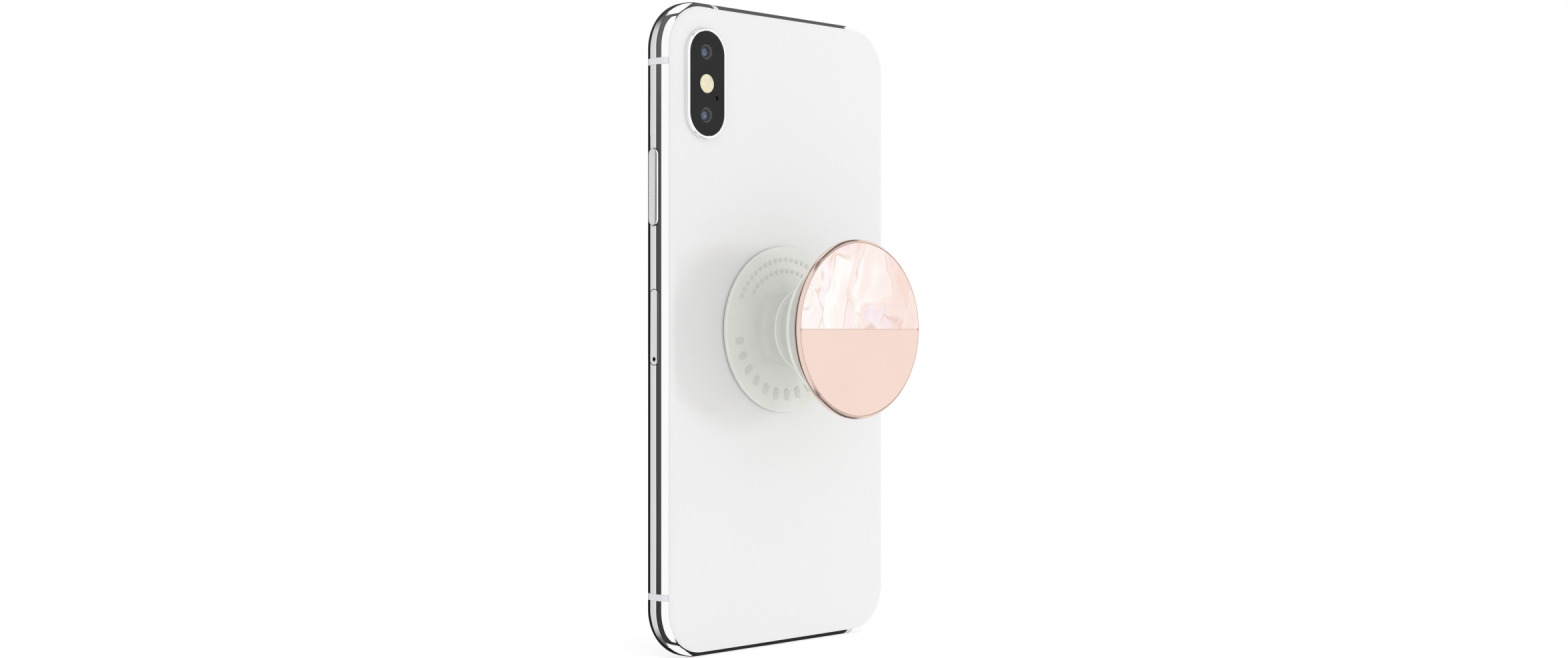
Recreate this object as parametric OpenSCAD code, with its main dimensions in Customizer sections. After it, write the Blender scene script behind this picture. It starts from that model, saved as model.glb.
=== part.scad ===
// Slim smartphone with a glass front and back in a steel band, and a
// collapsible finger grip stuck to its back. The phone is drawn lying on its
// screen (x across, y along, z through the thickness from the screen face),
// then stood up, so that the screen faces -Y and the back faces +Y.

/* [Body] */
// Width across the side band
body_w = 70.9; // [70:0.1:74]
// Length from the bottom edge to the top edge
body_l = 143.6; // [143:0.1:150]
// Thickness from screen face to back face
body_t = 7.7; // [7.7:0.1:8.2]
// Corner radius seen from the front
corner_r = 11; // [10:0.5:12]
// Rounding radius of the side profile
edge_r = 3.05; // [2.8:0.05:3.2]
// Thickness of the glass plates
glass_t = 0.7; // [0.6:0.05:0.75]
// Wall thickness of the steel band
band_wall = 2.6; // [2.4:0.1:2.6]
// Width of the antenna inserts
insert_w = 1.45; // [1:0.05:2]

/* [Camera] */
// Camera bump centre, across
cam_x = 24.05; // [23:0.05:25]
// Camera bump centre, along
cam_y = 53.7; // [52:0.1:54]
// Camera bump width
cam_w = 11.5; // [11.4:0.1:12]
// Camera bump length
cam_l = 24.3; // [24:0.1:25]
// How far the bump stands off the back
cam_proud = 0.95; // [0.9:0.05:1.2]
// Lens focus travel
focus_travel = 0.25; // [0.1:0.05:0.25]

/* [Buttons and tray] */
// Side button length
side_btn_l = 16.7; // [14:0.1:17]
// Volume button length
vol_btn_l = 10.6; // [8:0.1:11]
// Button and tray width
btn_w = 2.8; // [2.4:0.1:2.8]
// How far the buttons stand off the band
btn_proud = 0.4; // [0.2:0.05:0.5]
// Gap round buttons and tray
btn_gap = 0.15; // [0.1:0.01:0.2]
// Card tray face length
tray_l = 16.3; // [16:0.1:16.5]
// Radius of the eject hole in the tray face
eject_r = 0.475; // [0.4:0.025:0.5]

/* [Grip] */
// Radius of the stuck-down base
grip_base_r = 18.75; // [18:0.25:19]
// Radius of the platter rim
grip_top_r = 19.7; // [19:0.1:20]
// Height of the platter face above the back, opened
grip_h = 24.4; // [24:0.1:25]
// Thickness of the platter
grip_plate_t = 1.8; // [1.6:0.1:2]

/* [Hidden] */
$fn = 96;
core_x = body_w/2 - corner_r;
core_y = body_l/2 - corner_r;
mid_t = body_t/2;
side_x = body_w/2;
end_y = body_l/2;
in_x = side_x - band_wall;          // inner face of the side walls
in_y = end_y - band_wall;           // inner face of the end walls
seat = 0.55;                        // depth at which the metal meets the glass
rim_in = 1.4;                       // step from the outer face in to the glass
ledge = glass_t + 0.25;             // glass plus its seal
side_btn_y = 30.75;
vol_up_y = 30.9;
vol_down_y = 18.1;
silent_y = 43.6;
tray_y = 0.45;
eject_y = -6.47;
lens_x = 24.2;
upper_y = 60.6;
lower_y = 46.8;
flash_y = 53.68;
sock_w = 8.9;
sock_h = 3;
back_h = body_t;                    // grip heights are counted from here
gsr = 0.35;                         // adhesive thickness under the grip base
base_t = 1.25;                      // top of the grip base rim
car_low = grip_h - grip_plate_t - 1.3;   // underside of the carrier
acc_top = car_low - 0.05;

// Stands the lying model up
module upright() mirror([0, 1, -1]) children();

// Extrudes a plan shape between two depths
module slab(t0, t1) translate([0, 0, t0]) linear_extrude(t1 - t0) children();

// Box given by two corners
module box(a, b) translate(a) cube([b[0] - a[0], b[1] - a[1], b[2] - a[2]]);

module rrect(w, l, r) {
    square([w - 2*r, l], center = true);
    square([w, l - 2*r], center = true);
    for (sx = [-1, 1], sy = [-1, 1]) translate([sx*(w/2 - r), sy*(l/2 - r)]) circle(r);
}

// Plan stadium, long side along y
module pill(w, l) {
    square([w, l - w], center = true);
    for (s = [-1, 1]) translate([0, s*(l - w)/2]) circle(w/2);
}

// Stadium bar along x, its long side along y
module pill_x(x0, x1, yc, zc, w, l)
    translate([x0, yc, zc]) rotate([0, 90, 0]) linear_extrude(x1 - x0) pill(w, l);

// Round bar along x, and round bar along y
module rod_x(x0, x1, yc, zc, r) translate([x0, yc, zc]) rotate([0, 90, 0]) cylinder(h = x1 - x0, r = r);
module rod_y(y0, y1, xc, zc, r) translate([xc, y1, zc]) rotate([90, 0, 0]) cylinder(h = y1 - y0, r = r);

// Sweeps a profile round the outline: x outwards from the corner centre
module round_outline() {
    for (k = [0:3]) {
        off = k % 2 == 0 ? core_x : core_y;
        half = k % 2 == 0 ? core_y : core_x;
        rotate([0, 0, 90*k]) translate([off, half, 0]) {
            rotate_extrude(angle = 90) children();
            rotate([90, 0, 0]) linear_extrude(2*half) children();
        }
    }
}

// Full rounded edge of the phone
module edge_profile() {
    square([corner_r - edge_r, body_t]);
    translate([0, edge_r]) square([corner_r, body_t - 2*edge_r]);
    for (v = [edge_r, body_t - edge_r]) translate([corner_r - edge_r, v]) circle(edge_r);
}

module band_profile() {
    difference() {
        intersection() {
            edge_profile();
            translate([corner_r - band_wall, seat]) square([band_wall + 1, body_t - 2*seat]);
        }
        translate([0, -1]) square([corner_r - rim_in, 1 + ledge]);
        translate([0, body_t - ledge]) square([corner_r - rim_in, ledge + 1]);
    }
}

module glass_profile() {
    intersection() {
        edge_profile();
        square([corner_r - rim_in - 0.02, glass_t]);
    }
}

// Flat glass with its rounded rim, outer face at z = 0
module glass_plate() {
    round_outline() glass_profile();
    slab(0, glass_t) square([2*core_x, 2*core_y], center = true);
}

// The slots cut into the outer part of the band for the antenna inserts
module insert_slots() {
    for (sx = [-1, 1], sy = [-1, 1])
        translate([sx*(side_x - 0.3), sy*57.9, mid_t]) cube([2, insert_w, body_t + 2], center = true);
    translate([20, end_y - 0.3, mid_t]) cube([insert_w, 2, body_t + 2], center = true);
    translate([-23, -end_y + 0.3, mid_t]) cube([insert_w, 2, body_t + 2], center = true);
}

// A sprung button: crowned cap, stem through the band, inner flange
module key_cap(len, yc) {
    pill_x(side_x - 2.6, side_x + btn_proud - 0.12, yc, mid_t, btn_w, len);
    pill_x(side_x - 1, side_x + btn_proud, yc, mid_t, btn_w - 0.5, len - 0.5);
    pill_x(in_x - 0.65, in_x - 0.05, yc, mid_t, btn_w + 1, len + 1.4);
}

// Dome switches on a small plate behind the buttons
module dome_plate(y0, y1, ys) {
    box([in_x - 2.8, y0, mid_t - 1.25], [in_x - 2.55, y1, mid_t + 1.25]);
    for (y = ys) {
        rod_x(in_x - 2.6, in_x - 1.5, y, mid_t, 1.2);
        rod_x(in_x - 1.6, in_x - 1, y, mid_t, 0.6);
    }
}

module steel_band() {
    color("#d9dadb") upright() difference() {
        round_outline() band_profile();
        insert_slots();
        // side button and card tray
        pill_x(in_x - 1, side_x + 1, side_btn_y, mid_t, btn_w + 2*btn_gap, side_btn_l + 2*btn_gap);
        pill_x(in_x - 1, side_x + 1, tray_y, mid_t, btn_w + 2*btn_gap, tray_l + 2*btn_gap);
        // volume buttons and silent switch
        for (y = [vol_up_y, vol_down_y])
            pill_x(-side_x - 1, -in_x + 1, y, mid_t, btn_w + 2*btn_gap, vol_btn_l + 2*btn_gap);
        pill_x(-side_x - 1, -in_x + 1, silent_y, mid_t, 2.9, 7);
        // charge socket, its two screws, and the sound holes
        translate([0, -end_y - 1, mid_t]) rotate([-90, 90, 0]) linear_extrude(band_wall + 2) pill(sock_h, sock_w);
        for (s = [-1, 1]) {
            rod_y(-end_y - 1, -in_y + 1, s*7.9, mid_t, 0.7);
            rod_y(-end_y - 1, -end_y + 0.9, s*7.9, mid_t, 0.95);
        }
        for (i = [0:5]) rod_y(-end_y - 1, -in_y + 1, 11.2 + 2.35*i, mid_t, 0.75);
        for (i = [0:2]) rod_y(-end_y - 1, -in_y + 1, -11.2 - 2.35*i, mid_t, 0.75);
    }
}

module antenna_inserts() {
    color("#dfe0e4") upright() intersection() {
        round_outline() band_profile();
        insert_slots();
    }
}

module front_glass() {
    color("#101114") upright() difference() {
        glass_plate();
        translate([0, 67, 0]) slab(-1, 2) rotate([0, 0, 90]) pill(1.3, 10.6);
    }
}

module front_seal() {
    color("#2a2a2c") upright() round_outline()
        translate([corner_r - 2.5, glass_t]) square([1, ledge - glass_t]);
}

module display_panel() {
    color("#08080a") upright() slab(glass_t + 0.02, 1.7) difference() {
        rrect(64.6, 137.2, 8.4);
        translate([0, 68.6]) rrect(35, 10.8, 2.6);
    }
}

module display_frame() {
    color("#8f9296") upright() slab(1.72, 1.95) difference() {
        translate([0, -3.2]) rrect(62.6, 129.4, 7.4);
        for (s = [-1, 1], y = [-40, 0, 40]) translate([s*20, y]) rrect(9, 5, 1);
    }
}

module display_flex() {
    color("#b8743a") upright() {
        slab(1.97, 2.1) translate([17, 27]) rrect(9, 20, 1);
        slab(2.1, 2.3) translate([17, 21]) rrect(7.6, 3.4, 0.5);
    }
}

module back_glass() {
    color("#f3f3f2") upright() difference() {
        translate([0, 0, body_t]) mirror([0, 0, 1]) glass_plate();
        translate([cam_x, cam_y, 0]) slab(body_t - 2, body_t + 1) pill(cam_w - 0.2, cam_l - 0.2);
    }
}

module back_seal() {
    color("#2a2a2c") upright() round_outline()
        translate([corner_r - 2.5, body_t - ledge]) square([1, ledge - glass_t]);
}

module back_plate() {
    color("#9a9da1") upright() slab(body_t - ledge - 0.33, body_t - ledge - 0.03) difference() {
        rrect(65.5, 138.2, 8.3);
        circle(23.6);
        translate([cam_x, cam_y]) pill(cam_w + 0.6, cam_l + 0.6);
    }
}

module camera_ring() {
    color("#e8e8ea") upright() translate([cam_x, cam_y, 0]) difference() {
        union() {
            slab(body_t - 1.2, body_t + 0.1) pill(cam_w - 0.3, cam_l - 0.3);
            slab(body_t + 0.01, body_t + cam_proud - 0.15) pill(cam_w, cam_l);
            slab(body_t + 0.2, body_t + cam_proud) pill(cam_w - 0.3, cam_l - 0.3);
        }
        slab(body_t - 2, body_t + 2) pill(cam_w - 1.9, cam_l - 1.9);
        slab(body_t + cam_proud - 0.8, body_t + 2) pill(cam_w - 1.3, cam_l - 1.3);
    }
}

module camera_glass() {
    color("#2c2d30") upright() difference() {
        translate([cam_x, cam_y, 0])
            slab(body_t + cam_proud - 0.75, body_t + cam_proud - 0.1) pill(cam_w - 1.4, cam_l - 1.4);
        translate([cam_x, flash_y, 0]) cylinder(h = 12, r = 2.12);
        translate([21.25, 50.7, 0]) cylinder(h = 12, r = 0.5);
    }
}

module camera_bracket() {
    color("#a7a9ac") upright() slab(2.1, 2.35) difference() {
        translate([lens_x, cam_y]) rrect(10.4, 25, 1.2);
        for (y = [upper_y, lower_y]) translate([lens_x, y]) circle(1.2);
    }
}

// Square camera module with a round turret and a well for its lens
module camera_body(y) {
    difference() {
        union() {
            slab(2.4, 6.3) translate([lens_x, y]) rrect(8.6, 8.6, 0.8);
            translate([lens_x, y, 6.2]) cylinder(h = 0.8, r = 4.1);
        }
        translate([lens_x, y, 5.9]) cylinder(h = 3, r = 3.3);
        translate([lens_x, y, 4]) cylinder(h = 3, r = 2.2);
    }
}

module upper_camera_housing() color("#3a3b3e") upright() camera_body(upper_y);

module lower_camera_housing() color("#3a3b3e") upright() camera_body(lower_y);

// Moving lens barrel with a domed front element
module lens_barrel(y) {
    translate([lens_x, y, 0]) {
        difference() {
            translate([0, 0, 6.1]) cylinder(h = 1.3, r = 3);
            translate([0, 0, 6.9]) cylinder(h = 2, r1 = 1.2, r2 = 3.2);
            translate([0, 0, 5]) cylinder(h = 3, r = 1.25);
        }
        intersection() {
            translate([0, 0, 6.2]) cylinder(h = 0.9, r = 1.27);
            translate([0, 0, 5]) sphere(2);
        }
    }
}

module upper_lens() color("#33475c") upright() lens_barrel(upper_y);

module lower_lens() color("#33475c") upright() lens_barrel(lower_y);

module flash_lens() {
    color("#f6f0c4") upright() translate([cam_x, flash_y, 0]) {
        translate([0, 0, 7.05]) cylinder(h = body_t + cam_proud - 0.15 - 7.05, r = 2.075);
        translate([0, 0, 7.05]) cylinder(h = 0.5, r = 2.4);
    }
}

module flash_board() {
    color("#3d6b4a") upright() {
        slab(6.3, 6.7) translate([cam_x, flash_y]) rrect(5, 4.6, 0.4);
        slab(6.7, 7) translate([cam_x, flash_y]) rrect(2.2, 2.2, 0.2);
    }
}

module rear_mic() {
    color("#6d6f72") upright() {
        slab(7.05, 7.6) translate([21.25, 50.4]) rrect(1.7, 2, 0.3);
        translate([21.25, 50.7, 7.5]) cylinder(h = 0.6, r = 0.44);
    }
}

module side_button() color("#dcdddf") upright() key_cap(side_btn_l, side_btn_y);

module side_button_switch() color("#b8743a") upright() dome_plate(24, 37.5, [side_btn_y]);

module volume_up_button() color("#dcdddf") upright() mirror([1, 0, 0]) key_cap(vol_btn_l, vol_up_y);

module volume_down_button() color("#dcdddf") upright() mirror([1, 0, 0]) key_cap(vol_btn_l, vol_down_y);

module volume_switches()
    color("#b8743a") upright() mirror([1, 0, 0]) dome_plate(13, 36, [vol_up_y, vol_down_y]);

module silent_switch() {
    color("#dcdddf") upright() mirror([1, 0, 0]) {
        pill_x(in_x - 0.2, side_x + 0.3, silent_y, mid_t - 0.55, 1.5, 5.9);
        pill_x(in_x - 0.65, in_x - 0.05, silent_y, mid_t - 0.55, 2.4, 7.4);
    }
}

module silent_switch_base() {
    color("#4a4b4e") upright() mirror([1, 0, 0])
        box([in_x - 2.6, silent_y - 4.2, mid_t - 1.8], [in_x - 0.75, silent_y + 4.2, mid_t + 1.8]);
}

module card_tray() {
    color("#dcdddf") upright() difference() {
        union() {
            pill_x(side_x - 1.3, side_x - 0.03, tray_y, mid_t, btn_w, tray_l);
            box([12, -5.3, mid_t - 0.45], [side_x - 1.2, 8, mid_t + 0.45]);
        }
        rod_x(side_x - 3, side_x + 1, eject_y, mid_t, eject_r);
        // pocket for the card, open through the middle
        box([14.6, -4.9, mid_t - 0.2], [23.5, 7.5, mid_t + 1]);
        box([16, -3.6, mid_t - 1], [22.2, 6.2, mid_t + 1]);
        box([25.6, -3.6, mid_t - 1], [30.6, 6.2, mid_t + 1]);
    }
}

module tray_seal() {
    color("#1d1d1f") upright() difference() {
        pill_x(side_x - 1.9, side_x - 1.35, tray_y, mid_t, btn_w, tray_l);
        box([12, -5.32, mid_t - 0.47], [side_x, 8.02, mid_t + 0.47]);
        rod_x(side_x - 3, side_x, eject_y, mid_t, 0.8);
    }
}

module nano_card() {
    color("#ececec") upright() difference() {
        box([14.65, -4.85, mid_t - 0.2], [23.45, 7.45, mid_t + 0.44]);
        translate([14.65, 7.45, 0]) rotate([0, 0, 45]) cube([2.4, 2.4, 20], center = true);
    }
}

module card_reader() {
    color("#c2c4c7") upright() difference() {
        box([10.4, -8, mid_t - 0.95], [31.4, 9, mid_t + 0.95]);
        box([11, -7.4, mid_t - 0.7], [32, 8.4, mid_t + 0.7]);
        box([14, -4, mid_t], [28, 7, mid_t + 2]);
    }
}

module eject_lever() {
    color("#a7a9ac") upright() {
        box([11.2, -7.2, mid_t - 0.5], [27.5, -6, mid_t + 0.5]);
        box([11.1, -7.2, mid_t - 0.3], [11.7, 1, mid_t + 0.3]);
    }
}

module battery_main()
    color("#2b2c2f") upright() slab(2.35, 5.72) translate([-11.4, 6]) rrect(36.4, 103, 1.6);

module battery_lower()
    color("#2b2c2f") upright() slab(2.35, 5.72) translate([19.8, -28.5]) rrect(24, 34, 1.6);

module battery_adhesive() {
    color("#d8d8d8") upright() slab(5.74, 5.86) {
        for (x = [-23, -11.4, 0.2]) translate([x, 6]) square([7, 94], center = true);
        translate([19.8, -28.5]) square([14, 26], center = true);
    }
}

module logic_board() {
    color("#1f4a35") upright() difference() {
        union() {
            slab(3.1, 3.7) translate([18.9, 26.2]) rrect(21.4, 28.6, 1.2);
            slab(5.1, 5.7) translate([18.9, 26.2]) rrect(21.4, 28.6, 1.2);
            // spacer wall that joins the two layers
            slab(3.6, 5.2) translate([18.9, 26.2]) difference() {
                rrect(19, 26, 1);
                rrect(16.6, 23.6, 0.6);
            }
            // chips in rows
            for (i = [0:2], j = [0:3]) slab(3.6, 4.4)
                translate([13.6 + 5.3*i, 17.6 + 5.7*j]) square([4, 4.4], center = true);
        }
        for (sx = [-1, 1], sy = [-1, 1])
            translate([18.9 + sx*9.6, 26.2 + sy*13.2, 0]) cylinder(h = 10, r = 0.6);
    }
}

module board_shield() {
    color("#c9cbce") upright() difference() {
        slab(2.4, 3.08) translate([18.9, 26.2]) rrect(16.4, 24.6, 1);
        slab(2.6, 4) translate([18.9, 26.2]) rrect(15.8, 24, 0.8);
    }
}

module haptic_case() {
    color("#b4b6b9") upright() difference() {
        box([-31, -58.5, 2.6], [-3, -48, 5.9]);
        box([-30.65, -58.15, 0], [-3.35, -48.35, 5.55]);
    }
}

module haptic_cover() color("#8f9296") upright() box([-31, -58.5, 2.3], [-3, -48, 2.58]);

module haptic_mass() {
    color("#6f6a63") upright() difference() {
        box([-28, -57.8, 2.95], [-6, -48.7, 5.2]);
        for (x = [-24.5, -9.5]) box([x - 1.5, -56.5, 2], [x + 1.5, -50, 4]);
    }
}

// Leaf springs at the two ends of the haptic mass
module haptic_springs() {
    color("#c9cbce") upright() for (s = [-1, 1], k = [-1, 1])
        translate([-17 + s*12.75, -53.25 + k*2.2, 4.1]) rotate([0, 0, s*k*8])
            cube([0.3, 4.2, 1.8], center = true);
}

module loudspeaker() {
    color("#37383b") upright() difference() {
        slab(2.5, 5.9) intersection() {
            translate([18.5, -58.3]) rrect(26, 20.6, 2);
            rrect(2*in_x - 0.4, 2*in_y - 0.4, corner_r - band_wall - 0.2);
        }
        slab(2, 2.8) translate([18.5, -56.5]) rrect(20, 12, 3);
        for (i = [0:5]) rod_y(-70, -65.5, 11.2 + 2.35*i, mid_t, 0.6);
    }
}

// Woven covers behind the sound holes
module bottom_meshes() {
    color("#3f4043") upright() {
        box([10, -in_y + 0.05, mid_t - 1.1], [24.2, -in_y + 0.3, mid_t + 1.1]);
        box([-17.1, -in_y + 0.05, mid_t - 1.1], [-10, -in_y + 0.3, mid_t + 1.1]);
    }
}

module bottom_mic() {
    color("#c2a35a") upright() {
        box([-16.5, -in_y + 0.35, mid_t - 0.9], [-10.6, -65.4, mid_t + 0.9]);
        box([-26, -67.8, mid_t - 0.3], [-16.5, -65.6, mid_t]);
    }
}

module charge_socket() {
    color("#5c5e62") upright() difference() {
        box([-5.3, -in_y + 0.05, mid_t - 1.85], [5.3, -60.6, mid_t + 1.85]);
        translate([0, -in_y - 1, mid_t]) rotate([-90, 90, 0]) linear_extrude(8.2) pill(sock_h - 0.3, sock_w - 0.3);
    }
}

module charge_contacts() {
    color("#d6b45c") upright() for (i = [0:7])
        box([-2.9 + 0.76*i, -68.4, mid_t + 1.15], [-2.5 + 0.76*i, -63, mid_t + 1.35]);
}

// Two security screws beside the socket
module bottom_screws() {
    color("#d4d5d7") upright() for (s = [-1, 1]) difference() {
        union() {
            rod_y(-end_y + 0.1, -end_y + 0.85, s*7.9, mid_t, 0.88);
            rod_y(-end_y + 0.8, -in_y + 0.4, s*7.9, mid_t, 0.6);
        }
        translate([s*7.9, -end_y + 0.5, mid_t]) rotate([90, 0, 0]) cylinder(h = 1, r = 0.45, $fn = 5);
    }
}

module board_screws() {
    color("#d4d5d7") upright() for (sx = [-1, 1], sy = [-1, 1])
        translate([18.9 + sx*9.6, 26.2 + sy*13.2, 0]) difference() {
            union() {
                translate([0, 0, 2.6]) cylinder(h = 0.48, r = 0.95);
                translate([0, 0, 2.7]) cylinder(h = 3.1, r = 0.5);
            }
            translate([0, 0, 2.5]) cylinder(h = 0.35, r = 0.4, $fn = 6);
        }
}

module earpiece() {
    color("#37383b") upright() difference() {
        slab(2.1, 4.6) translate([0, 63.2]) rrect(14, 7.4, 1);
        slab(1, 2.4) translate([0, 65.4]) rrect(10, 1.6, 0.5);
    }
}

module earpiece_mesh()
    color("#2f3033") upright() slab(0.2, 0.6) translate([0, 67]) rotate([0, 0, 90]) pill(1.24, 10.5);

module front_camera() {
    color("#1b1c1f") upright() {
        translate([11.6, 66.2, 0.76]) cylinder(h = 1.3, r = 1.7);
        slab(2, 4.6) translate([11.6, 66]) rrect(4.8, 4.8, 0.5);
    }
}

// Projector, infrared camera and proximity sensor on one bar
module front_sensors() {
    color("#4d5054") upright() {
        slab(2, 3.2) translate([-12.9, 66]) rrect(9.4, 4.8, 0.5);
        for (p = [[-15.4, 1.5], [-11.8, 1.3], [-9.2, 0.6]])
            translate([p[0], 66.2, 0.76]) cylinder(h = 1.3, r = p[1]);
    }
}

module charging_coil() {
    color("#c0763c") upright() {
        for (i = [0:7]) translate([0, 0, 6.06]) difference() {
            cylinder(h = 0.3, r = 21.8 - 1.5*i);
            translate([0, 0, -1]) cylinder(h = 2, r = 20.6 - 1.5*i);
        }
        // the lead that crosses and joins the turns
        box([-0.5, -21.6, 5.98], [0.5, -9.2, 6.08]);
    }
}

module coil_shield() {
    color("#55575b") upright() translate([0, 0, 5.88]) difference() {
        cylinder(h = 0.1, r = 23);
        translate([0, 0, -1]) cylinder(h = 3, r = 5);
    }
}

module grip_adhesive()
    color("#e9ebe8") upright() translate([0, 0, back_h]) cylinder(h = gsr, r = 17.6);

// Thin disc with a rounded rim and a shallow dish towards the stem
module grip_base() {
    color("#d3d7d0") upright() translate([0, 0, back_h]) rotate_extrude() {
        polygon([[0, gsr], [grip_base_r - 0.35, gsr], [grip_base_r - 0.35, base_t],
            [grip_base_r - 1.2, base_t], [12, base_t - 0.15], [9.5, base_t - 0.25], [0, base_t - 0.25]]);
        translate([0, gsr + 0.15]) square([grip_base_r, base_t - gsr - 0.5]);
        translate([grip_base_r - 0.35, base_t - 0.35]) circle(0.35);
        translate([grip_base_r - 0.15, gsr + 0.15]) circle(0.15);
    }
}

// Soft stem in two tiers: narrow neck, bead, cone, bead, upper wall
module grip_accordion() {
    z0 = base_t - 0.25;
    color("#cbd0c8") upright() translate([0, 0, back_h]) rotate_extrude() polygon([
        [8.5, z0], [7.9, 1.6], [7.6, 2.6], [7.5, 5], [8.2, 5.3], [9.05, 5.5], [9.3, 5.9],
        [9.3, 6.6], [9.05, 6.95], [8.75, 7.2], [8.85, 7.8], [13.85, 14.8], [14.6, 15], [15.25, 15.3],
        [15.5, 15.8], [15.4, 16.4], [15, 16.75], [14.85, 17.2], [16.2, acc_top - 0.3], [16.6, acc_top],
        [13, acc_top], [15.3, acc_top - 0.5], [14.05, 17.3], [14.1, 16.2], [13.2, 15.4], [8.1, 8.1],
        [8.1, 6.2], [6.8, 5.6], [6.75, 2.6], [6.9, z0]]);
}

// Plastic disc that closes the stem and carries the platter
module grip_carrier() {
    color("#c6cbc3") upright() translate([0, 0, back_h + car_low]) {
        cylinder(h = 1.2, r = 17.2);
        cylinder(h = 1.9, r = 4);
    }
}

// Rose-gold dish with a rounded rim, turning on the carrier's boss
module grip_top_shell() {
    rr = 0.6;
    face = grip_h;
    low = grip_h - grip_plate_t;
    color("#d9b3a1") upright() translate([0, 0, back_h]) rotate_extrude() {
        polygon([[4.06, low], [17.3, low], [grip_top_r - 0.4, low + 0.35], [grip_top_r, low + 0.6],
            [grip_top_r, face - rr], [grip_top_r - rr, face], [18.98, face], [18.98, face - 0.3], [0, face - 0.3],
            [0, low + 0.75], [4.06, low + 0.75]]);
        intersection() {
            translate([grip_top_r - rr, face - rr]) circle(rr);
            translate([18.98, 0]) square([grip_top_r, face]);
        }
    }
}

// Upper half patterned like mother-of-pearl, lower half plain
module grip_inlays() {
    for (k = [0, 1]) color(k == 0 ? "#f8e9e4" : "#f3ddd1") upright()
        slab(back_h + grip_h - 0.28, back_h + grip_h) intersection() {
            circle(18.93);
            translate([-20, k == 0 ? 0.05 : -20.05]) square([40, 20]);
        }
}

steel_band();
antenna_inserts();
front_glass();
front_seal();
display_panel();
display_frame();
display_flex();
back_glass();
back_seal();
back_plate();
camera_ring();
camera_glass();
camera_bracket();
upper_camera_housing();
lower_camera_housing();
upper_lens();
lower_lens();
flash_lens();
flash_board();
rear_mic();
side_button();
side_button_switch();
volume_up_button();
volume_down_button();
volume_switches();
silent_switch();
silent_switch_base();
card_tray();
tray_seal();
nano_card();
card_reader();
eject_lever();
battery_main();
battery_lower();
battery_adhesive();
logic_board();
board_shield();
haptic_case();
haptic_cover();
haptic_mass();
haptic_springs();
loudspeaker();
bottom_meshes();
bottom_mic();
charge_socket();
charge_contacts();
bottom_screws();
board_screws();
earpiece();
earpiece_mesh();
front_camera();
front_sensors();
charging_coil();
coil_shield();
grip_adhesive();
grip_base();
grip_accordion();
grip_carrier();
grip_top_shell();
grip_inlays();
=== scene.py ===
import math

import bmesh
import bpy
import numpy as np
from mathutils import Matrix, Vector


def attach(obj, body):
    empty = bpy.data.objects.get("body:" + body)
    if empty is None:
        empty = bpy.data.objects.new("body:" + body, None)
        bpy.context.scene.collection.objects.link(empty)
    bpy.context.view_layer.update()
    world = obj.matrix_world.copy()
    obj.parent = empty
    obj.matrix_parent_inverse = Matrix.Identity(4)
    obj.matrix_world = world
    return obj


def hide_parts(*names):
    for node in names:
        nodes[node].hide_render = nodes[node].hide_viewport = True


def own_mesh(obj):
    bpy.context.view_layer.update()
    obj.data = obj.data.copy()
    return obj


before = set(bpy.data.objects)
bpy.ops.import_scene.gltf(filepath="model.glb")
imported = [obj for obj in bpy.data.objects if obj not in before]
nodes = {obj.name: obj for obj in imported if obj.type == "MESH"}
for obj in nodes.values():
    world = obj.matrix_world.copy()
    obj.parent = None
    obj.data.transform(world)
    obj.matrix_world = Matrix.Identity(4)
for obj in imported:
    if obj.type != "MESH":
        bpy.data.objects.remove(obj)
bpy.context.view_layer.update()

scene = bpy.context.scene
mm = 0.001

# all lengths below are in millimetres, the screen's outer face is at depth 0
body = {
    "width": 70.9, "length": 143.6, "thick": 7.7, "corner": 11.0, "edge": 3.05,
    "wall": 2.6, "seat": 0.55, "rim": 1.4, "ledge": 0.95, "crown": 2.2, "arcSteps": 40, "profileSteps": 30,
}
halfW = body["width"] / 2
halfL = body["length"] / 2
midT = body["thick"] / 2

# angles in degrees over which an edge stays sharp, weld in metres
build = {"weld": 2e-7, "sharp": 38, "roundSharp": 50, "softAngle": 32, "pillTrim": 1e-4}


# merges doubles, can dissolve flat seams, and turns every face outward
def cleanMesh(mesh, weld, flatten=0):
    bm = bmesh.new()
    bm.from_mesh(mesh)
    bmesh.ops.remove_doubles(bm, verts=bm.verts, dist=weld)
    if flatten:
        bmesh.ops.dissolve_limit(bm, angle_limit=math.radians(flatten), verts=bm.verts, edges=bm.edges)
    bmesh.ops.recalc_face_normals(bm, faces=bm.faces)
    bm.to_mesh(mesh)
    bm.free()


def smoothMesh(mesh, sharp):
    mesh.shade_smooth()
    mesh.set_sharp_from_angle(angle=math.radians(sharp))


def newObject(name, data):
    item = bpy.data.objects.new(name, data)
    scene.collection.objects.link(item)
    return item


# rings is (rings, points, 3): each ring is a closed loop, and the last row joins
# the first when looped, or else both ends are closed by one face
def shellFaces(rings, looped, start):
    index = start + np.arange(rings[..., 0].size).reshape(rings.shape[:2])
    here = index if looped else index[:-1]
    after = np.roll(index, -1, axis=0) if looped else index[1:]
    quads = np.stack([here, np.roll(here, -1, axis=1), np.roll(after, -1, axis=1), after], axis=-1)
    return quads.reshape(-1, 4).tolist() + ([] if looped else index[[0, -1]].tolist())


# one mesh from several shells
def shellMesh(name, shells, looped=False):
    points = []
    faces = []
    start = 0
    for rings in shells:
        faces += shellFaces(rings, looped, start)
        points.append(rings.reshape(-1, 3))
        start += len(points[-1])
    mesh = bpy.data.meshes.new(name)
    mesh.from_pydata(np.concatenate(points).tolist(), [], faces)
    cleanMesh(mesh, build["weld"])
    return mesh


def makePiece(name, shells, material, looped=False, sharp=build["sharp"], rideOn="phone"):
    mesh = shellMesh(name, shells, looped)
    smoothMesh(mesh, sharp)
    piece = newObject(name, mesh)
    piece.data.materials.append(material)
    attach(piece, rideOn)
    return piece


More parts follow.
